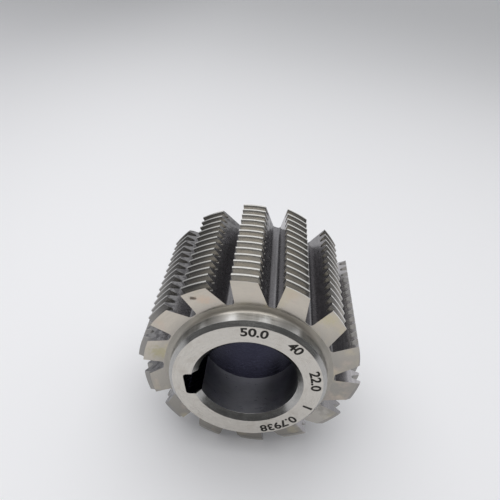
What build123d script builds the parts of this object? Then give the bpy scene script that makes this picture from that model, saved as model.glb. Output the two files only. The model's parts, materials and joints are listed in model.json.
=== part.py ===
from build123d import *
import os
from math import acos, atan2, ceil, cos, degrees, hypot, pi, radians, sin, sqrt, tan

# Gear hob: one piece of high-speed steel. A single-start right-hand worm is cut into rows of teeth by
# straight gashes, and every tooth is relieved behind its cutting edge. A plain hub stands at each end,
# and a keyed bore takes the arbor of the hobbing machine.
# Millimetres, +Z up. The axis is Y, the front end faces -Y, and the origin is the centre of the bore at
# mid-length. Angles run counterclockwise from +X, seen from the front, and rows are counted clockwise.
# The hob lies as it comes to rest on a table.

# Toothed body
outside_diameter = 50.0
toothed_length = 32.5

# Hubs, alike at both ends
hub_diameter = 34.5
hub_length = 3.75
hub_chamfer = 0.9
hub_root_cone = 0.25

# Bore, with a ground land at each end and a recess between them
bore_diameter = 22.0
bore_chamfer = 1.2
bore_land_length = 12.0
recess_depth = 0.8

# Keyway, cut along the whole bore
keyway_width = 6.0
keyway_depth = 2.8
keyway_corner_radius = 0.8
largest_keyway_corner_in_widths = 0.45
keyway_from_first_row = 86.2

# Thread: in an axial section it is the rack that meshes with the gear to be cut
module = 25.4 / 32
pressure_angle = 20.0
tip_height_in_modules = 1.25
root_depth_in_modules = 1.0
first_tooth_from_front = 2.25

# Rows of teeth, and the gashes between them
row_count = 14
relief_angle = 6.2
gash_depth = 6.0
gash_floor_width = 1.75
gash_back_angle = 37.0
gash_corner_radius = 0.6
largest_share_of_corner_limit = 0.95

# Sizes that follow
outside_radius = outside_diameter / 2
bore_radius = bore_diameter / 2
hub_radius = hub_diameter / 2
overall_length = toothed_length + 2 * hub_length
axial_pitch = pi * module
tooth_depth = (tip_height_in_modules + root_depth_in_modules) * module
row_step = 360 / row_count

# The land behind a cutting edge is an arc about a centre beside the hob's own axis, so that it falls away
# at the relief angle. For a row whose cutting edge lies on +X, that centre is here in the end view.
land_centre = outside_radius * sin(radians(relief_angle)) * Vector(1, 0).rotate(Axis.Z, 90 - relief_angle)
land_radius = outside_radius * cos(radians(relief_angle))


def land_point(angle):
    """Point of that row's land at this angle about the land's own centre."""
    return land_centre + Vector(land_radius, 0).rotate(Axis.Z, angle)


def gash_wall():
    """Foot of that row's back wall, and the heel where the wall meets the land."""
    floor_radius = outside_radius - gash_depth
    foot = Vector(floor_radius, gash_floor_width).rotate(Axis.Z, -row_step)
    rise = Vector(1, 0).rotate(Axis.Z, gash_back_angle - row_step)
    inward = foot - land_centre
    along = inward.dot(rise)
    height = sqrt(along ** 2 - inward.dot(inward) + land_radius ** 2) - along
    return foot, foot + height * rise


wall_foot, heel = gash_wall()
cutting_edge = Vector(outside_radius, 0)


def resting_lean():
    """Angle from a row's cutting edge, clockwise, to the direction square to the table.

    The table touches the land of that row and the cutting edge of the next one.
    """
    next_edge = cutting_edge.rotate(Axis.Z, -row_step) - land_centre
    swing = acos(land_radius / next_edge.length)
    return -degrees(atan2(next_edge.Y, next_edge.X) + swing)


first_row_angle = resting_lean() - 90 + (row_count // 2) * row_step


def end_view():
    """Outline of the body with its gashes, seen from the front, before the thread is cut."""
    floor_start = Vector(outside_radius - gash_depth, 0)
    heel_angle = degrees(atan2(heel.Y - land_centre.Y, heel.X - land_centre.X))
    land_middle = land_point((heel_angle - relief_angle) / 2)
    row = Curve() + [
        Line(floor_start, cutting_edge),
        ThreePointArc(cutting_edge, land_middle, heel),
        Line(heel, wall_foot),
        Line(wall_foot, floor_start.rotate(Axis.Z, -row_step)),
    ]
    rows = [Rot(0, 0, first_row_angle - number * row_step) * row for number in range(row_count)]
    outline = make_face(Curve() + rows)
    corner_limit = gash_floor_width / (1 + tan(radians(45 - gash_back_angle / 2)))
    corner_radius = min(gash_corner_radius, largest_share_of_corner_limit * corner_limit)
    corners = [v for v in outline.vertices() if hypot(v.X, v.Y) < outside_radius - gash_depth / 2]
    return fillet(corners, corner_radius)


def thread_cutter():
    """The thread spaces of one row, for a cutting edge on +X.

    The rack's spaces lie in the cutting face. They run from there to the heel, falling with the relief
    and following the thread's lead, and are joined by a bar that stays clear of the land.
    """
    flank_slope = tan(radians(pressure_angle))
    tip_half = axial_pitch / 4 - tip_height_in_modules * module * flank_slope
    root_half = tip_half + tooth_depth * flank_slope
    bar_half = tip_half / 2
    bar = outside_radius + bar_half / flank_slope
    root = outside_radius - tooth_depth
    teeth_each_way = ceil(toothed_length / axial_pitch / 2) + 1
    profile = []
    for tooth in range(-teeth_each_way, teeth_each_way + 1):
        middle = tooth * axial_pitch
        profile.append((root, middle - root_half))
        profile.append((bar, middle - bar_half))
        profile.append((bar, middle + bar_half))
        profile.append((root, middle + root_half))
    profile.append((bar + tooth_depth, profile[-1][1]))
    profile.append((bar + tooth_depth, profile[0][1]))
    section = make_face(Polyline(profile, close=True))
    land_angle = -degrees(atan2(heel.Y, heel.X))
    lead = axial_pitch * land_angle / 360
    run = Vector(heel.X - cutting_edge.X, lead, heel.Y - cutting_edge.Y)
    overrun = 0.3
    started = Pos(run * -overrun) * section
    return extrude(started, run.length * (1 + 2 * overrun), dir=run)


def row_cutters():
    """The thread cutter at every row, each a row's share of the pitch behind the last."""
    cutter = thread_cutter()
    first_tooth = first_tooth_from_front - toothed_length / 2
    cutters = []
    for row in range(row_count):
        along = (first_tooth + row * axial_pitch / row_count) % axial_pitch
        turned = Rot(0, row * row_step - first_row_angle, 0) * cutter
        cutters.append(Pos(0, along, 0) * turned)
    return cutters


def hubs():
    """Both hubs and the core between them, turned in one."""
    end = overall_length / 2
    shoulder = toothed_length / 2
    profile = [
        (0, end),
        (hub_radius - hub_chamfer, end),
        (hub_radius, end - hub_chamfer),
        (hub_radius, shoulder + hub_root_cone),
        (hub_radius + hub_root_cone, shoulder),
    ]
    mirrored = [(r, -y) for r, y in reversed(profile)]
    return revolve(make_face(Polyline(profile + mirrored, close=True)), Axis.Y)


def bore():
    """The round hole right through, with its chamfers and its recess."""
    end = overall_length / 2
    recess_end = end - bore_land_length
    profile = [
        (0, end),
        (bore_radius + bore_chamfer, end),
        (bore_radius, end - bore_chamfer),
        (bore_radius, recess_end),
        (bore_radius + recess_depth, recess_end),
    ]
    mirrored = [(r, -y) for r, y in reversed(profile)]
    return revolve(make_face(Polyline(profile + mirrored, close=True)), Axis.Y)


def keyway():
    """The slot for the arbor's key, from the bore's axis out to its floor."""
    reach = bore_radius + keyway_depth
    slot = Pos(reach / 2, 0) * Rectangle(reach, keyway_width)
    corner_radius = min(keyway_corner_radius, largest_keyway_corner_in_widths * keyway_width)
    slot = fillet(slot.vertices().group_by(Axis.X)[-1], corner_radius)
    turned = Rot(0, 0, first_row_angle + keyway_from_first_row) * slot
    return extrude(Plane.XZ * turned, overall_length, both=True)


body = extrude(Plane.XZ * end_view(), toothed_length / 2, both=True) - row_cutters()
hob = body + hubs() - bore() - keyway()
hob.label = "hob"

os.makedirs("parts", exist_ok=True)
export_step(hob, "parts/hob.step")
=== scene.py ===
import json
import bmesh
import bpy
import numpy as np
from mathutils import Matrix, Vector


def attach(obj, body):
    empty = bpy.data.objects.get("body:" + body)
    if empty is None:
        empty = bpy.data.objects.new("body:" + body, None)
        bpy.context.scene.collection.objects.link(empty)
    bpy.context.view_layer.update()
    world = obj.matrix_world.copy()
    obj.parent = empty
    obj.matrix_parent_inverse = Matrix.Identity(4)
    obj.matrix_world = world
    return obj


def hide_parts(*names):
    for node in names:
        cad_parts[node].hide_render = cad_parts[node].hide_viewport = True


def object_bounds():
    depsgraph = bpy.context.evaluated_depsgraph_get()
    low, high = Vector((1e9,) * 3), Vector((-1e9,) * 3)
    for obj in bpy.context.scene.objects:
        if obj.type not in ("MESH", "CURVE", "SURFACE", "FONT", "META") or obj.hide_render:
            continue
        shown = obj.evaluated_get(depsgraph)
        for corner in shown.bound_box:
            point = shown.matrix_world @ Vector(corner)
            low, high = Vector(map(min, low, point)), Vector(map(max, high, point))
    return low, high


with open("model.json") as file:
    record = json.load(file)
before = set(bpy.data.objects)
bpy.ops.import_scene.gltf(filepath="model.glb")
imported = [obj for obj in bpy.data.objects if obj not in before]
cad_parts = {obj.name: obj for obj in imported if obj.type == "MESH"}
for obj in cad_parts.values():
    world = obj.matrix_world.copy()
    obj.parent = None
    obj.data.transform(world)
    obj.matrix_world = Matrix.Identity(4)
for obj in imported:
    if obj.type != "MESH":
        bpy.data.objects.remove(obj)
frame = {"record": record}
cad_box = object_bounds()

# Toothed body: a bar of high-speed steel with one right-hand thread on it, cut into rows of teeth by
# straight gashes. Each tooth is ground back behind its cutting edge, so that only the edge touches.
mm = 0.001
outside_radius = 25.0 * mm
body_half = 16.25 * mm
row_count = 14
row_step = 2 * np.pi / row_count
relief = np.radians(6.2)
first_row = np.radians(104.07)

module = 25.4 / 32 * mm
tip_height = 1.25 * module
tooth_depth = 2.25 * module
axial_pitch = np.pi * module
flank_slope = np.tan(np.radians(20))
tip_half = axial_pitch / 4 - tip_height * flank_slope
root_half = tip_half + tooth_depth * flank_slope
first_tooth = 2.25 * mm - body_half
tip_rounding = 0.04 * mm
root_fillet = 0.16 * mm
points_per_tooth_arc = 3
spare_pitches = 2

gash_floor = outside_radius - 6.0 * mm
gash_width = 1.75 * mm
gash_lean = np.radians(37)
gash_corner = 0.6 * mm
points_per_gash_arc = 5


def rounded(corners, radii, steps):
    """Polyline with each inner corner swapped for an arc of its radius.

    The arc starts and ends at radius / tan(half the corner's angle) from the corner, about a centre on
    the bisector at radius / sin(half the angle), and is swept by turning from its start to its end.
    """
    corners = np.asarray(corners, float)
    radii = np.asarray(radii, float)[:, None]
    back = corners[:-2] - corners[1:-1]
    ahead = corners[2:] - corners[1:-1]
    back /= np.linalg.norm(back, axis=1, keepdims=True)
    ahead /= np.linalg.norm(ahead, axis=1, keepdims=True)
    half = np.arccos(np.clip((back * ahead).sum(1, keepdims=True), -1, 1)) / 2
    bisector = back + ahead
    bisector /= np.linalg.norm(bisector, axis=1, keepdims=True)
    centre = corners[1:-1] + bisector * radii / np.sin(half)
    start = corners[1:-1] + back * radii / np.tan(half) - centre
    end = corners[1:-1] + ahead * radii / np.tan(half) - centre
    swing = np.pi - 2 * half
    share = np.linspace(0, 1, steps)[:, None, None]
    arcs = centre + (np.sin((1 - share) * swing) * start + np.sin(share * swing) * end) / np.sin(swing)
    return np.vstack([corners[:1], arcs.transpose(1, 0, 2).reshape(-1, 2), corners[-1:]])


def grid_quads(across, along, first):
    """Corner numbers of the quads of a grid whose points are numbered along each line in turn."""
    corner = first + np.arange(across - 1)[:, None] * along + np.arange(along - 1)
    return np.stack([corner, corner + along, corner + along + 1, corner + 1], -1).reshape(-1, 4)


# One pitch of the rack, from the middle of a space to the middle of the next: place along the axis and
# depth below the tip. The thread is the rack repeated, with pitches to spare past both ends.
rack_corners = [
    (-axial_pitch / 2, tooth_depth),
    (-root_half, tooth_depth),
    (-tip_half, 0),
    (tip_half, 0),
    (root_half, tooth_depth),
    (axial_pitch / 2, tooth_depth),
]
rack_radii = [root_fillet, tip_rounding, tip_rounding, root_fillet]
rack = rounded(rack_corners, rack_radii, points_per_tooth_arc)
pitches = int(2 * body_half / axial_pitch) + 2 * spare_pitches
pitch_starts = first_tooth + (np.arange(pitches) - spare_pitches) * axial_pitch
thread = (pitch_starts[:, None] + rack[:-1, 0]).ravel()

# The end view of one row, clockwise from the middle of the gash floor before it. The first number is
# the distance out along the cutting face, and the second the distance clockwise from that face. Points
# on the land lie close together at its two ends, where its worn edges get a painted glint.
land_centre = outside_radius * np.sin(relief) * np.array([np.sin(relief), -np.cos(relief)])
next_out = np.array([np.cos(row_step), np.sin(row_step)])
next_back = np.array([np.sin(row_step), -np.cos(row_step)])
wall_foot = gash_floor * next_out + gash_width * next_back
wall_rise = np.array([np.cos(row_step - gash_lean), np.sin(row_step - gash_lean)])
floor_middle = np.array([gash_floor, -gash_width / 2])
next_middle = gash_floor * next_out + gash_width / 2 * next_back
land_shares = np.array([0, 0.02, 0.16, 0.3, 0.44, 0.58, 0.72, 0.86, 0.98, 1])
land_steps = len(land_shares)


def land(depth):
    """Land at this depth below the tip: an arc about the land's own centre, from the cutting face to the
    gash's back wall. The wall is foot + lift * rise, and it meets the arc where that is a radius long.
    Points run along the first axis.
    """
    out = outside_radius - depth - land_centre[0]
    radius = np.hypot(out, land_centre[1])
    foot = wall_foot - land_centre
    lift = np.sqrt((foot @ wall_rise) ** 2 - foot @ foot + radius ** 2) - foot @ wall_rise
    heel = foot + lift[..., None] * wall_rise
    begin = np.arctan2(-land_centre[1], out)
    finish = np.arctan2(heel[..., 1], heel[..., 0])
    angle = begin + land_shares[:, None] * (finish - begin)
    return land_centre + radius[..., None] * np.stack([np.cos(angle), np.sin(angle)], -1)


full_land = land(np.zeros((land_steps, 1)))[:, 0]
rake_foot = rounded([floor_middle, (gash_floor, 0), full_land[0]], [gash_corner], points_per_gash_arc)[:-1]
back_foot = rounded([full_land[-1], wall_foot, next_middle], [gash_corner], points_per_gash_arc)[1:-1]
view = np.vstack([rake_foot, full_land, back_foot])
view_angle = np.arctan2(view[:, 1], view[:, 0])
land_columns = slice(len(rake_foot), len(rake_foot) + land_steps)

# The thread climbs a pitch in each turn. Points past the end planes are drawn back onto them, where
# they close up, and the depth is read from the rack at the place where each point ends up.
turn = np.arange(row_count)[:, None] * row_step + view_angle
climb = axial_pitch * turn[..., None] / (2 * np.pi)
along = np.clip(thread + climb, -body_half, body_half)
phase = (along - climb - first_tooth + axial_pitch / 2) % axial_pitch - axial_pitch / 2
depth = np.interp(phase, rack[:, 0], rack[:, 1])
section = np.broadcast_to(view[:, None], along.shape + (2,)).copy()
for number in range(row_count):
    section[number, land_columns] = land(depth[number, land_columns])

row_angle = first_row - np.arange(row_count)[:, None, None] * row_step
out, clockwise = section[..., 0], section[..., 1]
body_x = out * np.cos(row_angle) + clockwise * np.sin(row_angle)
body_z = out * np.sin(row_angle) - clockwise * np.cos(row_angle)
body_points = np.stack([body_x, along, body_z], -1).reshape(-1, len(thread), 3)
seam = body_points[:1].copy()
seam[..., 1] = np.clip(thread + axial_pitch + climb[0, 0], -body_half, body_half)
body_points = np.concatenate([body_points, seam])
body_quads = grid_quads(len(body_points), len(thread), 0)

# Finish of each strip of the end view, numbered in the order in which the hob gets its materials.
end_finish, tooth_finish, rake_finish, gash_finish = range(4)
hub_finish, edge_finish, face_finish, bore_finish, recess_finish = range(4, 9)
strip_finish = np.full(len(view), gash_finish)
strip_finish[len(rake_foot) - 1] = rake_finish
strip_finish[len(rake_foot):len(rake_foot) + land_steps - 1] = tooth_finish
body_finish = np.repeat(np.tile(strip_finish, row_count), len(thread) - 1)

# Hubs and bore: a plain collar turned at each end, faced and chamfered, and a ground bore with a recess
# in the middle of its length. The keyway for the arbor's key is cut along the whole bore.
hub_radius = 17.25 * mm
hub_chamfer = 0.9 * mm
hub_fillet = 0.75 * mm
end = cad_box[1][1]
bore_radius = frame["record"]["mounts"][0]["dims"]["r_mm"] * mm
bore_chamfer = 1.2 * mm
bore_land = 12.0 * mm
recess_radius = bore_radius + 0.8 * mm
keyway_half = 3.0 * mm
keyway_floor = bore_radius + 2.8 * mm
keyway_corner = 0.8 * mm
keyway_angle = first_row + np.radians(86.2)
keyway_sector = 0.5
least_reach = 0.9 * bore_radius
edge_break = 0.06 * mm
points_per_collar_arc = 6

front_half = [
    (hub_radius + 2 * hub_fillet, -body_half),
    (hub_radius, -body_half),
    (hub_radius, hub_chamfer - end),
    (hub_radius - hub_chamfer, -end),
    (bore_radius + bore_chamfer, -end),
    (bore_radius, bore_chamfer - end),
    (bore_radius, bore_land - end),
    (recess_radius, bore_land - end),
]
collar_corners = np.array(front_half + [(r, -y) for r, y in reversed(front_half)])
collar_radii = np.full(len(collar_corners) - 2, edge_break)
collar_radii[[0, -1]] = hub_fillet
collar = rounded(collar_corners, collar_radii, points_per_collar_arc)


def slot_reach(angle):
    """Distance from the axis to the keyway's outline at this angle from the keyway's middle.

    It is floor / cos, side / sin, or between them the far crossing of the ray with the corner's arc,
    and nothing where the ray misses the keyway.
    """
    angle = np.abs(angle)
    centre_out = keyway_floor - keyway_corner
    centre_side = keyway_half - keyway_corner
    toward = centre_out * np.cos(angle) + centre_side * np.sin(angle)
    square = toward ** 2 - centre_out ** 2 - centre_side ** 2 + keyway_corner ** 2
    arc = toward + np.sqrt(np.maximum(square, 0))
    side = keyway_half / np.maximum(np.sin(angle), 1e-9)
    floor = keyway_floor / np.maximum(np.cos(angle), 1e-9)
    reach = np.where(floor * np.sin(angle) <= centre_side, floor, arc)
    reach = np.where(side * np.cos(angle) <= centre_out, side, reach)
    return np.where((angle < keyway_sector) & (reach > least_reach), reach, 0)


# Angles of the collar from the keyway's middle: few across the keyway's floor, many round its corner and
# up its side, those where its side meets the bore, the recess and the chamfer, and even ones for the rest.
floor_turns = np.linspace(0, 0.15, 4)
side_turns = np.linspace(0.155, 0.29, 45)
meeting = np.arcsin(keyway_half / np.array([bore_radius, recess_radius, bore_radius + bore_chamfer]))
keyway_turns = np.concatenate([floor_turns, side_turns, meeting])
past_keyway = 0.3
even_turns = np.linspace(past_keyway, 2 * np.pi - past_keyway, 220)
turns = np.unique(np.concatenate([keyway_turns, even_turns, 2 * np.pi - keyway_turns]))

# The collar's profile is carried round the axis, and pushed out to the keyway's outline inside the bore.
from_keyway = (turns + np.pi) % (2 * np.pi) - np.pi
bored = collar[:, 0] < bore_radius + bore_chamfer + edge_break
slot = np.where(bored, slot_reach(from_keyway)[:, None], 0)
collar_r = np.maximum(collar[:, 0], slot)
collar_x = collar_r * np.cos(turns + keyway_angle)[:, None]
collar_z = collar_r * np.sin(turns + keyway_angle)[:, None]
collar_y = np.broadcast_to(collar[:, 1], collar_r.shape)
collar_points = np.stack([collar_x, collar_y, collar_z], -1)
first_collar = body_points.size // 3
collar_quads = grid_quads(len(turns), len(collar), first_collar)

# Finish of each strip of the collar. The keyway's walls have the finish of the recess.
strip_middle = (collar[1:] + collar[:-1]) / 2
faced = np.abs(np.abs(strip_middle[:, 1]) - end) < edge_break / 4
inside = strip_middle[:, 0] < bore_radius + bore_chamfer
recessed = np.abs(strip_middle[:, 1]) < end - bore_land + edge_break
collar_strip = np.where(faced, face_finish, np.where(inside, bore_finish, hub_finish))
collar_strip = np.where(inside & recessed, recess_finish, collar_strip)
outer_edge = (collar_strip == hub_finish) & (np.abs(strip_middle[:, 1]) > end - hub_chamfer)
inner_edge = (collar_strip == bore_finish) & (np.abs(strip_middle[:, 1]) > end - bore_chamfer)
collar_strip = np.where(outer_edge | inner_edge, edge_finish, collar_strip)
in_keyway = slot > collar[:, 0]
slotted = in_keyway[1:, 1:] & in_keyway[:-1, 1:] & in_keyway[1:, :-1] & in_keyway[:-1, :-1]
collar_finish = np.where(slotted, recess_finish, collar_strip).ravel()

# The whole hob, one piece of steel: welded where the surfaces meet, and closed by its two end faces. Each
# point carries its depth below the tip, as a share of the tooth's height, and whether it lies on one of
# the two edges of a land above the root, where the worn edges get a painted glint.
weld = 0.0002 * mm
on_plane = 0.001 * mm
# Depth down to which the edges of the lands get the painted glint.
glint_depth = 0.9 * tooth_depth
sharp_angle = np.radians(40)
hob_mesh = bpy.data.meshes.new("hob_steel")
points = np.concatenate([body_points.reshape(-1, 3), collar_points.reshape(-1, 3)])
hob_mesh.from_pydata(points.tolist(), [], np.concatenate([body_quads, collar_quads]).tolist())
hob_mesh.polygons.foreach_set("material_index", np.concatenate([body_finish, collar_finish]))
below_tip = np.ones(len(points), np.float32)
below_tip[:depth.size] = (depth / tooth_depth).ravel()
hob_mesh.attributes.new("below_tip", "FLOAT", "POINT").data.foreach_set("value", below_tip)
on_edge = np.zeros(depth.shape, np.float32)
for column in (land_columns.start, land_columns.stop - 1):
    on_edge[:, column] = depth[:, column] < glint_depth
at_edge = np.zeros(len(points), np.float32)
at_edge[:on_edge.size] = on_edge.ravel()
hob_mesh.attributes.new("at_edge", "FLOAT", "POINT").data.foreach_set("value", at_edge)
shell = bmesh.new()
shell.from_mesh(hob_mesh)
bmesh.ops.remove_doubles(shell, verts=shell.verts, dist=weld)
for plane in (-body_half, body_half):
    rim = [e for e in shell.edges if e.is_boundary and abs(e.verts[0].co.y - plane) < on_plane]
    bmesh.ops.triangle_fill(shell, edges=rim, use_beauty=True)
bmesh.ops.recalc_face_normals(shell, faces=shell.faces)
for face in shell.faces:
    face.smooth = True
shell.to_mesh(hob_mesh)
shell.free()
hob_mesh.set_sharp_from_angle(angle=sharp_angle)
hob = bpy.data.objects.new("hob_steel", hob_mesh)
bpy.context.scene.collection.objects.link(hob)
flatten = hob.modifiers.new("flatten", "WEIGHTED_NORMAL")
flatten.keep_sharp = True
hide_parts("hob")
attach(hob, "root")

# End faces of the body: bare steel, as all of the hob is, ground flat with faint rings. They are painted
# darker low down and round the hub, as painted shade, and handling has left stains and a dark speck. A
# lighter patch low on the right is painted light.
end_tones = (0.53, 0.49, 0.43, 1), (0.60, 0.55, 0.475, 1)
# Tone of the painted shade round the hub.
hub_shade_tone = (0.36, 0.34, 0.31, 1)
# Tone of the painted shade low down on the face.
low_shade_tone = (0.33, 0.315, 0.29, 1)
stain_tone = (0.56, 0.50, 0.36, 1)
blush_tone = (0.58, 0.47, 0.40, 1)
# Slanted way up, along which the painted shade low down fades.
shade_height_way = (-0.35, 0, 1)
ring_travel = (0, 1.4, 0)

# Each patch of the front face: its middle and reach in millimetres, the shares of the reach where it is
# full and where it ends, how much of its tone shows there, and the tone.
patches = [
    ((-20.0, -16.25, 2.4), (2.6, 9.0, 2.2), 0.1, 1.2, 0.8, (0.42, 0.385, 0.25, 1)),
    # This patch is painted light: a lighter patch low on the right, where the face is lit more.
    ((17.2, -16.25, -13.4), (4.5, 9.0, 4.5), 0.4, 1.3, 0.85, (0.50, 0.475, 0.44, 1)),
    ((14.6, -16.25, 17.6), (2.4, 9.0, 1.7), 0.1, 1.2, 0.6, (0.53, 0.48, 0.32, 1)),
    ((-10.9, -16.25, 18.7), (2.6, 9.0, 1.2), 0.1, 1.2, 0.55, (0.62, 0.47, 0.37, 1)),
    ((-13.2, -16.25, 18.7), (0.85, 9.0, 0.5), 0.5, 1.0, 0.85, (0.07, 0.05, 0.035, 1)),
]


def bare_steel(name):
    """New metal finish and its shader."""
    finish = bpy.data.materials.new(name)
    finish.use_nodes = True
    shader = finish.node_tree.nodes["Principled BSDF"]
    shader.inputs["Metallic"].default_value = 1
    return finish, shader


def node(finish, kind, inputs, **settings):
    """New shader node with its settings, and with inputs given as values or as other nodes' sockets."""
    fresh = finish.node_tree.nodes.new("ShaderNode" + kind)
    for name, value in settings.items():
        setattr(fresh, name, value)
    for name, value in inputs.items():
        if isinstance(value, bpy.types.NodeSocket):
            finish.node_tree.links.new(value, fresh.inputs[name])
        else:
            fresh.inputs[name].default_value = value
    return fresh.outputs


def between(finish, value, low, high, first, last):
    """Number that goes smoothly from first to last as the value goes from low to high."""
    limits = {"Value": value, "From Min": low, "From Max": high, "To Min": first, "To Max": last}
    return node(finish, "MapRange", limits, interpolation_type="SMOOTHSTEP")["Result"]


def blend(finish, share, one, other):
    """Colour that goes from one to the other by this share."""
    return node(finish, "Mix", {0: share, 6: one, 7: other}, data_type="RGBA")[2]


def toned(finish, marks, dark, light, low=0.3, high=0.7):
    """Colour that goes from dark to light as the marks go from low to high."""
    return blend(finish, between(finish, marks, low, high, 0, 1), dark, light)


def stained(finish, steel, tone, value, low, high, first, last):
    """Steel under a tone, whose share goes from first to last as the value goes from low to high."""
    return blend(finish, between(finish, value, low, high, first, last), steel, tone)


def lean(finish, vector, axis):
    """How far a vector leans to an axis: their dot product."""
    return node(finish, "VectorMath", {0: vector, 1: axis}, operation="DOT_PRODUCT")["Value"]


def off_axis(finish):
    """Vector from the hob's axis, square to it: the place with no y."""
    place = node(finish, "TexCoord", {})["Object"]
    return node(finish, "VectorMath", {0: place, 1: (1, 0, 1)}, operation="MULTIPLY")["Vector"]


def from_axis(finish):
    """Distance from the hob's axis: the length of the vector off it."""
    return node(finish, "VectorMath", {0: off_axis(finish)}, operation="LENGTH")["Value"]


def round_axis(finish):
    """Direction from the hob's axis: the vector off it, made one long."""
    return node(finish, "VectorMath", {0: off_axis(finish)}, operation="NORMALIZE")["Vector"]


def lathe_marks(finish, per_mm, round_cut):
    """Uneven rings that a cutting edge leaves on turning work.

    It is noise at a place whose y is the distance from the axis plus 1.4 times the distance along it,
    and whose x and z point from the axis, so it changes fast across the rings and slowly round them.
    """
    place = node(finish, "TexCoord", {})["Object"]
    along = lean(finish, place, ring_travel)
    travel = node(finish, "Math", {0: from_axis(finish), 1: along}, operation="ADD")["Value"]
    ringed = node(finish, "CombineXYZ", {"Y": travel})["Vector"]
    ringed = node(finish, "VectorMath", {0: ringed, "Scale": per_mm / mm}, operation="SCALE")["Vector"]
    way = round_axis(finish)
    turned = node(finish, "VectorMath", {0: way, "Scale": round_cut}, operation="SCALE")["Vector"]
    spot = node(finish, "VectorMath", {0: ringed, 1: turned}, operation="ADD")["Vector"]
    return node(finish, "TexNoise", {"Vector": spot, "Scale": 1.0, "Detail": 6.0, "Roughness": 0.7})[0]


def blotches(finish, size, shift=(0, 0, 0), detail=3.0):
    """Soft noise with patches of about this size, moved by a shift so that no two are alike."""
    place = node(finish, "TexCoord", {})["Object"]
    moved = node(finish, "Mapping", {"Vector": place, "Location": shift})["Vector"]
    return node(finish, "TexNoise", {"Vector": moved, "Scale": 1 / size, "Detail": detail})[0]


def near_spot(finish, middle, reach):
    """Distance from a middle, in shares of the reach each way, both in millimetres, with ragged edges."""
    place = node(finish, "TexCoord", {})["Object"]
    shift = [-m / r for m, r in zip(middle, reach)]
    spread = [1 / (r * mm) for r in reach]
    local = node(finish, "Mapping", {"Vector": place, "Location": shift, "Scale": spread})["Vector"]
    away = node(finish, "VectorMath", {0: local}, operation="LENGTH")["Value"]
    ragged = between(finish, blotches(finish, 0.25 * reach[0] * mm), 0.3, 0.7, -0.3, 0.3)
    return node(finish, "Math", {0: away, 1: ragged}, operation="ADD")["Value"]


def scored(finish, shader, marks, strength, depth_of_marks):
    """Raise the surface by its marks."""
    height = {"Height": marks, "Strength": strength, "Distance": depth_of_marks}
    finish.node_tree.links.new(node(finish, "Bump", height)["Normal"], shader.inputs["Normal"])


def coloured(finish, shader, colour, roughness):
    """Give the shader its colour and roughness from sockets."""
    finish.node_tree.links.new(colour, shader.inputs["Base Color"])
    finish.node_tree.links.new(roughness, shader.inputs["Roughness"])


end_face, shader = bare_steel("ground_end_face")
rings = lathe_marks(end_face, 1.6, 9.0)
stain = blotches(end_face, 5 * mm, (0.3, 0.1, 0.2))
blush = blotches(end_face, 3.5 * mm, (0.7, 0.4, 0.9))
steel = toned(end_face, rings, *end_tones)
# Painted shade: the face darkens towards the hub, where the two meet.
steel = stained(end_face, steel, hub_shade_tone, from_axis(end_face), 17.8 * mm, 21.8 * mm, 0.7, 0)
# Painted shade: the face darkens low down, along a slanted height.
place = node(end_face, "TexCoord", {})["Object"]
height = lean(end_face, place, shade_height_way)
steel = stained(end_face, steel, low_shade_tone, height, -10 * mm, 20 * mm, 1, 0)
steel = stained(end_face, steel, stain_tone, stain, 0.52, 0.72, 0, 0.55)
steel = stained(end_face, steel, blush_tone, blush, 0.55, 0.75, 0, 0.4)
for middle, reach, full, ended, share, tone in patches:
    spot = near_spot(end_face, middle, reach)
    steel = stained(end_face, steel, tone, spot, full, ended, share, 0)
coloured(end_face, shader, steel, between(end_face, rings, 0.25, 0.75, 0.12, 0.22))
scored(end_face, shader, rings, 0.12, 0.02 * mm)

# Teeth: ground bright on the lands, and left browner on the relieved flanks. Their roots are darker, partly
# from less polish and partly as painted shade between the teeth, and the sides of the hob are painted
# darker as painted shade. Both edges of each land, rounded by wear, carry a painted glint as a pale line.
flank_tones = (0.45, 0.435, 0.41, 1), (0.51, 0.48, 0.43, 1)
stroke_tone = (0.37, 0.355, 0.335, 1)
# Tone of the roots: partly less polish, partly painted shade between the teeth.
root_shade_tone = (0.13, 0.125, 0.12, 1)
land_tone = (0.73, 0.715, 0.685, 1)
# Tone of the painted shade at the two sides of the hob.
side_shade_tone = (0.22, 0.215, 0.21, 1)
# Tone of the painted glint along the worn edges of the lands.
glint_tone = (0.78, 0.77, 0.75, 1)
# Middle of the hob's width, away from which the painted shade at the sides sets in.
lit_middle = (4 * mm, 0, 0)


def from_middle(finish, axis, middle=(0, 0, 0)):
    """Distance from a middle along the axis of this name, either way."""
    place = node(finish, "TexCoord", {})["Object"]
    local = node(finish, "VectorMath", {0: place, 1: middle}, operation="SUBTRACT")["Vector"]
    offset = node(finish, "SeparateXYZ", {"Vector": local})[axis]
    return node(finish, "Math", {0: offset}, operation="ABSOLUTE")["Value"]


tooth, shader = bare_steel("relieved_teeth")
depth_share = node(tooth, "Attribute", {}, attribute_name="below_tip")["Fac"]
edge_glint = node(tooth, "Attribute", {}, attribute_name="at_edge")["Fac"]
strokes = lathe_marks(tooth, 3.0, 30.0)
film = blotches(tooth, 4 * mm, (0.2, 0.6, 0.5))
aside = from_middle(tooth, "X", lit_middle)
flank = toned(tooth, film, *flank_tones, 0.35, 0.65)
flank = stained(tooth, flank, stroke_tone, strokes, 0.35, 0.65, 0, 0.35)
# Darker towards the roots: partly less polish, partly painted shade between the teeth.
flank = stained(tooth, flank, root_shade_tone, depth_share, 0.5, 0.9, 0, 0.85)
steel = toned(tooth, depth_share, land_tone, flank, 0.02, 0.08)
# Painted shade: the teeth darken towards both sides of the hob.
steel = stained(tooth, steel, side_shade_tone, aside, 11 * mm, 20 * mm, 0, 0.7)
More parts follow.
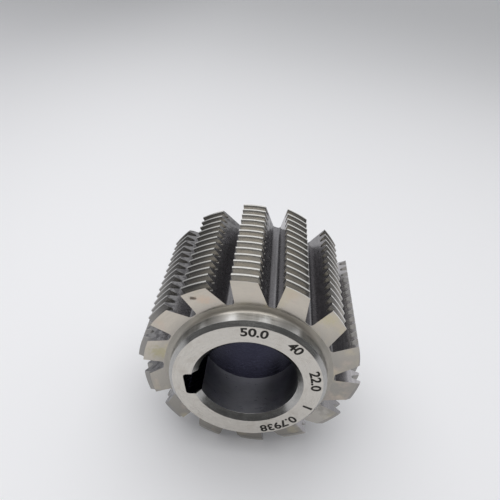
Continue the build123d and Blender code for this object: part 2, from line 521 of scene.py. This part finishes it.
# Painted glint: a pale line along both edges of each land, where wear has rounded them.
steel = stained(tooth, steel, glint_tone, edge_glint, 0.2, 0.9, 0, 0.8)
polish = between(tooth, depth_share, 0.02, 0.15, 0.16, 0.26)
rounding = between(tooth, edge_glint, 0.2, 0.9, 0, 0.35)
roughness = node(tooth, "Math", {0: polish, 1: rounding}, operation="ADD")["Value"]
coloured(tooth, shader, steel, roughness)
scored(tooth, shader, strokes, 0.10, 0.01 * mm)

# Cutting faces: the flat front of each row, ground along the hob each time that it is sharpened, which
# leaves fine straight lines.
rake_tones = (0.34, 0.33, 0.34, 1), (0.44, 0.425, 0.435, 1)
line_scale = (1900, 70, 1900)


def drawn_lines(finish):
    """Fine lines along the hob: noise that changes much faster across the axis than along it."""
    place = node(finish, "TexCoord", {})["Object"]
    drawn = node(finish, "Mapping", {"Vector": place, "Scale": line_scale})["Vector"]
    return node(finish, "TexNoise", {"Vector": drawn, "Scale": 1.0, "Detail": 5.0, "Roughness": 0.65})[0]


rake, shader = bare_steel("ground_cutting_face")
wheel_lines = drawn_lines(rake)
steel = toned(rake, wheel_lines, *rake_tones)
coloured(rake, shader, steel, between(rake, wheel_lines, 0.3, 0.7, 0.18, 0.26))
scored(rake, shader, wheel_lines, 0.10, 0.01 * mm)

# Back walls and floors of the gashes: milled along the hob, and left dark and scaly from hardening. The
# floors have less scale than the walls, which are darker, partly from scale and partly as painted shade,
# and the walls are painted a little lighter near the teeth, as painted light.
gash_tones = (0.16, 0.155, 0.16, 1), (0.23, 0.225, 0.235, 1)
# Tone of the painted light on the walls near the teeth.
upper_wall_light_tone = (0.24, 0.235, 0.235, 1)
# Tone of the scale, which also serves as painted shade on the walls.
scale_shade_tone = (0.08, 0.078, 0.082, 1)
gash, shader = bare_steel("hardened_gash")
mill_lines = drawn_lines(gash)
scale = blotches(gash, 1.1 * mm, (0.5, 0.2, 0.1), 6.0)
away = from_axis(gash)
steel = toned(gash, mill_lines, *gash_tones)
# Painted light: the walls are lighter near the teeth, towards the open end of the gash.
steel = stained(gash, steel, upper_wall_light_tone, away, 20.5 * mm, 23.5 * mm, 0, 0.6)
# The walls are darker than the floors: scale, and painted shade beside the floor's lit strip.
scale_and_shade = between(gash, scale, 0.45, 0.62, 0, 0.75)
off_floor = between(gash, away, 19.2 * mm, 20.4 * mm, 0.15, 1)
scale_and_shade = node(gash, "Math", {0: scale_and_shade, 1: off_floor}, operation="MULTIPLY")["Value"]
steel = blend(gash, scale_and_shade, steel, scale_shade_tone)
coloured(gash, shader, steel, between(gash, scale, 0.35, 0.7, 0.22, 0.40))
scored(gash, shader, scale, 0.35, 0.05 * mm)

# Hub rims: turned bright, so that light runs along the hob in streaks, painted in as painted sheen and
# painted highlights. They are painted darker at the two sides as painted shade, and carry a painted
# reflection of the end face where a fillet leads into it.
rim_tones = (0.40, 0.395, 0.38, 1), (0.66, 0.65, 0.63, 1)
# Tone of the painted sheen in streaks along the rim.
sheen_streak_tone = (0.80, 0.79, 0.77, 1)
# Tone of the painted highlights on the rim.
highlight_tone = (0.96, 0.95, 0.93, 1)
# Tone of the painted reflection of the end face on the rim.
body_reflection_tone = (0.62, 0.575, 0.50, 1)
# Tone of the painted shade at the rim's two sides.
rim_shade_tone = (0.22, 0.22, 0.21, 1)

# Each painted highlight streak: its angle in degrees, and how far the direction from the axis leans to it
# at its ends.
highlight_streaks = [(113, 0.98), (71, 0.99), (62, 0.99)]
hub, shader = bare_steel("turned_hub")
rings = lathe_marks(hub, 1.4, 4.0)
sheen_streaks = lathe_marks(hub, 0.02, 11.0)
steel = toned(hub, rings, *rim_tones)
# Painted sheen: pale streaks along the hob.
steel = stained(hub, steel, sheen_streak_tone, sheen_streaks, 0.42, 0.62, 0, 0.4)
way = round_axis(hub)
# Painted highlights: near-white streaks at these angles round the rim.
for degrees, least in highlight_streaks:
    toward = (np.cos(np.radians(degrees)), 0, np.sin(np.radians(degrees)))
    steel = stained(hub, steel, highlight_tone, lean(hub, way, toward), least, 0.999, 0, 0.85)
# Painted reflection: the rim takes the end face's tone near the fillet.
steel = stained(hub, steel, body_reflection_tone, from_middle(hub, "Y"), 16.4 * mm, 17.0 * mm, 1, 0)
# Painted shade: the rim darkens towards both sides of the hob.
steel = stained(hub, steel, rim_shade_tone, from_middle(hub, "X"), 12 * mm, 15 * mm, 0, 0.55)
coloured(hub, shader, steel, between(hub, rings, 0.25, 0.75, 0.38, 0.48))
scored(hub, shader, rings, 0.12, 0.02 * mm)
shader.inputs["Anisotropic"].default_value = 0.65
shader.inputs["Anisotropic Rotation"].default_value = 0.25
tangent = node(hub, "Tangent", {}, direction_type="RADIAL", axis="Y")["Tangent"]
hub.node_tree.links.new(tangent, shader.inputs["Tangent"])

# Chamfers of hub and bore: turned in one pass with a form tool, and smoother than the rims.
chamfer_tones = (0.34, 0.335, 0.325, 1), (0.46, 0.455, 0.44, 1)
edge, shader = bare_steel("turned_chamfer")
rings = lathe_marks(edge, 3.0, 6.0)
steel = toned(edge, rings, *chamfer_tones)
coloured(edge, shader, steel, between(edge, rings, 0.25, 0.75, 0.16, 0.24))
scored(edge, shader, rings, 0.06, 0.01 * mm)

# Hub faces: ground flat and pale, because the hob is clamped between them, with fine rings and a little
# grime.
face_tones = (0.57, 0.545, 0.50, 1), (0.67, 0.64, 0.59, 1)
grime_tone = (0.47, 0.43, 0.375, 1)
hub_face, shader = bare_steel("ground_hub_face")
rings = lathe_marks(hub_face, 2.2, 8.0)
grime = blotches(hub_face, 2.2 * mm, (0.9, 0.3, 0.6), 5.0)
steel = toned(hub_face, rings, *face_tones)
steel = stained(hub_face, steel, grime_tone, grime, 0.5, 0.75, 0, 0.45)
coloured(hub_face, shader, steel, between(hub_face, rings, 0.25, 0.75, 0.24, 0.40))
scored(hub_face, shader, rings, 0.12, 0.02 * mm)

# Bore lands: ground smooth to fit the arbor. They are painted lighter at the mouth, as painted light, and
# darker towards the recess, as painted shade.
bore_tones = (0.55, 0.55, 0.555, 1), (0.66, 0.66, 0.665, 1)
# Tone of the painted shade deep in the bore.
deep_shade_tone = (0.15, 0.15, 0.18, 1)
# Tone of the painted light at the bore's mouth.
mouth_light_tone = (0.9, 0.9, 0.9, 1)
bore, shader = bare_steel("ground_bore")
rings = lathe_marks(bore, 2.5, 6.0)
inward = from_middle(bore, "Y")
steel = toned(bore, rings, *bore_tones)
# Painted shade: the land darkens towards the recess.
steel = stained(bore, steel, deep_shade_tone, inward, 10 * mm, 18 * mm, 0.8, 0)
# Painted light: the land is lighter at the mouth.
steel = stained(bore, steel, mouth_light_tone, inward, 15.5 * mm, 18.8 * mm, 0, 0.8)
coloured(bore, shader, steel, between(bore, rings, 0.25, 0.75, 0.26, 0.38))
scored(bore, shader, rings, 0.05, 0.01 * mm)

# Recess and keyway: cut before hardening, and left blue-black by it, because no wheel reaches them.
recess_tones = (0.026, 0.026, 0.043, 1), (0.038, 0.038, 0.06, 1)
recess, shader = bare_steel("hardened_recess")
rings = lathe_marks(recess, 1.2, 5.0)
steel = toned(recess, rings, *recess_tones)
coloured(recess, shader, steel, between(recess, rings, 0.25, 0.75, 0.18, 0.32))
scored(recess, shader, rings, 0.05, 0.01 * mm)

for finish in (end_face, tooth, rake, gash, hub, edge, hub_face, bore, recess):
    hob_mesh.materials.append(finish)

# Numbers: plain sizes of the hob, burnt dark into the front hub's face by a laser and read from outside.
# Each is a flat text bent round the bore: x becomes the angle, and y the distance from the axis.
number_height = 2.28 * mm
number_radius = 13.85 * mm
number_lift = 0.01 * mm
number_weld = 0.0001 * mm
stroke_growth = 0.03
number_spread = 1.15
burn_tones = (0.025, 0.024, 0.023, 1), (0.07, 0.066, 0.06, 1)
numbers = [("50.0", 90.0), ("40", 53.5), ("22.0", 13.0), ("1", -20.0), ("0.7938", -55.0)]
burnt, shader = bare_steel("laser_burn")
speckle = blotches(burnt, 0.15 * mm)
burn = toned(burnt, speckle, *burn_tones, 0.35, 0.65)
coloured(burnt, shader, burn, between(burnt, speckle, 0.35, 0.65, 0.45, 0.65))
for order, (digits, middle) in enumerate(numbers):
    letters = bpy.data.curves.new("digits", "FONT")
    letters.body = digits
    letters.align_x = "CENTER"
    letters.extrude = number_lift / number_height
    letters.offset = stroke_growth
    letters.resolution_u = 4
    blank = bpy.data.objects.new("digits", letters)
    number_mesh = bpy.data.meshes.new_from_object(blank)
    number_mesh.name = f"hub_number_{order}"
    flat = np.zeros(len(number_mesh.vertices) * 3)
    number_mesh.vertices.foreach_get("co", flat)
    across, high, proud = flat.reshape(-1, 3).T * number_height / np.ptp(flat[1::3])
    angle = np.radians(middle) - number_spread * across / (number_radius + number_height / 2)
    away = number_radius + high
    bent = np.column_stack([away * np.cos(angle), -end - proud, away * np.sin(angle)])
    number_mesh.vertices.foreach_set("co", bent.ravel())
    solid = bmesh.new()
    solid.from_mesh(number_mesh)
    bmesh.ops.remove_doubles(solid, verts=solid.verts, dist=number_weld)
    bmesh.ops.recalc_face_normals(solid, faces=solid.faces)
    solid.to_mesh(number_mesh)
    solid.free()
    number_mesh.materials.clear()
    number_mesh.materials.append(burnt)
    number = bpy.data.objects.new(f"hub_number_{order}", number_mesh)
    bpy.context.scene.collection.objects.link(number)
    bpy.data.objects.remove(blank)
    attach(number, "root")

# Table: a plain pale sheet of card that the hob lies on, with painted shade far to the left. It runs far
# back, and in front of the hob it ends on a dark bench. The card glows a little at and in front of the hob,
# fading towards the back: painted light that lifts the shadows.
table_height = cad_box[0][2]
table_reach = 4.0
card_front = -110 * mm
bench_front = -150 * mm
shade_side = -260 * mm
lit_side = -60 * mm
lamp_reach = 500 * mm
card_tones = (0.68, 0.68, 0.70, 1), (0.84, 0.84, 0.86, 1)
bench_tone = (0.10, 0.10, 0.105, 1)
no_glow = (0, 0, 0, 1)
table_corners = np.array([(-1, -1), (1, -1), (1, 1), (-1, 1)]) * table_reach
table_points = np.column_stack([table_corners, np.full(4, table_height)])
table_mesh = bpy.data.meshes.new("table")
table_mesh.from_pydata(table_points.tolist(), [], [(0, 1, 2, 3)])
table = bpy.data.objects.new("table", table_mesh)
bpy.context.scene.collection.objects.link(table)
table_card = bpy.data.materials.new("table_card")
table_card.use_nodes = True
table_shader = table_card.node_tree.nodes["Principled BSDF"]
table_shader.inputs["Roughness"].default_value = 0.75
# Painted light: the card glows a little, which lifts its shadows.
table_shader.inputs["Emission Strength"].default_value = 0.12
table_place = node(table_card, "TexCoord", {})["Object"]
table_way = node(table_card, "SeparateXYZ", {"Vector": table_place})
# Painted shade: the card darkens far to the left.
card = toned(table_card, table_way["X"], *card_tones, shade_side, lit_side)
sheet = toned(table_card, table_way["Y"], bench_tone, card, bench_front, card_front)
# The painted glow is full at and in front of the hob and fades towards the back.
shadow_lift_glow = toned(table_card, table_way["Y"], sheet, no_glow, 0, lamp_reach)
table_card.node_tree.links.new(sheet, table_shader.inputs["Base Color"])
table_card.node_tree.links.new(shadow_lift_glow, table_shader.inputs["Emission Color"])
table_mesh.materials.append(table_card)

# Light: a soft lamp over the table, a little to the left, in a room that is dark where the camera stands,
# with a white screen behind the table and a weak window behind the camera.
front_light = 0.12
back_light = 0.56
screen_axis, screen_light = (-0.08, 0.85, 0.52), 0.35
window_axis, window_light = (0.03, -0.98, 0.17), 0.05
room = bpy.data.worlds.new("room")
bpy.context.scene.world = room
room.use_nodes = True
outlook = node(room, "TexCoord", {})["Generated"]
grey = between(room, lean(room, outlook, (0, 1, 0)), -0.8, 0.6, front_light, back_light)
screen = between(room, lean(room, outlook, screen_axis), 0.6, 0.95, 0, screen_light)
window = between(room, lean(room, outlook, window_axis), 0.90, 0.97, 0, window_light)
room_sum = node(room, "Math", {0: grey, 1: screen}, operation="ADD")["Value"]
room_sum = node(room, "Math", {0: room_sum, 1: window}, operation="ADD")["Value"]
room_light = room.node_tree.nodes["Background"]
room_light.inputs["Color"].default_value = (0.98, 0.99, 1.0, 1)
room.node_tree.links.new(room_sum, room_light.inputs["Strength"])
bpy.context.scene.view_settings.view_transform = "Standard"

lamp_data = bpy.data.lights.new("soft_lamp", "AREA")
lamp_data.shape = "SQUARE"
lamp_data.size = 0.7
lamp_data.energy = 1.9
lamp = bpy.data.objects.new("soft_lamp", lamp_data)
lamp.location = (-0.10, 0.0, 0.5)
bpy.context.scene.collection.objects.link(lamp)

# Camera: it looks down on the front end, turned a little to its own left. It was placed for a hob whose
# first row stands at fit_row, so it is turned about the hob's axis by as much as the hob itself.
picture_size = 500
focal_pixels = 500.4
camera_azimuth = np.radians(1.276)
camera_elevation = np.radians(32.926)
camera_roll = np.radians(5.4)
camera_distance = 111.55 * mm
camera_right = 0.353 * mm
camera_up = 26.826 * mm
camera_aim = -16.0 * mm
fit_row = np.radians(102.857)
look_back = np.array([
    np.sin(camera_azimuth) * np.cos(camera_elevation),
    -np.cos(camera_azimuth) * np.cos(camera_elevation),
    np.sin(camera_elevation),
])
level = np.cross(-look_back, (0, 0, 1))
level /= np.linalg.norm(level)
upright = np.cross(level, -look_back)
right = np.cos(camera_roll) * level + np.sin(camera_roll) * upright
up = np.cos(camera_roll) * upright - np.sin(camera_roll) * level
eye = look_back * camera_distance + camera_right * right + camera_up * up
eye[1] += camera_aim
camera_data = bpy.data.cameras.new("camera")
camera_data.sensor_width = 36
camera_data.lens = camera_data.sensor_width * focal_pixels / picture_size
camera_data.clip_start = 5 * mm
camera = bpy.data.objects.new("camera", camera_data)
facing = Matrix(np.column_stack([right, up, look_back]).tolist()).to_4x4()
facing.translation = eye
camera.matrix_world = Matrix.Rotation(-(first_row - fit_row), 4, "Y") @ facing
bpy.context.scene.collection.objects.link(camera)
bpy.context.scene.camera = camera
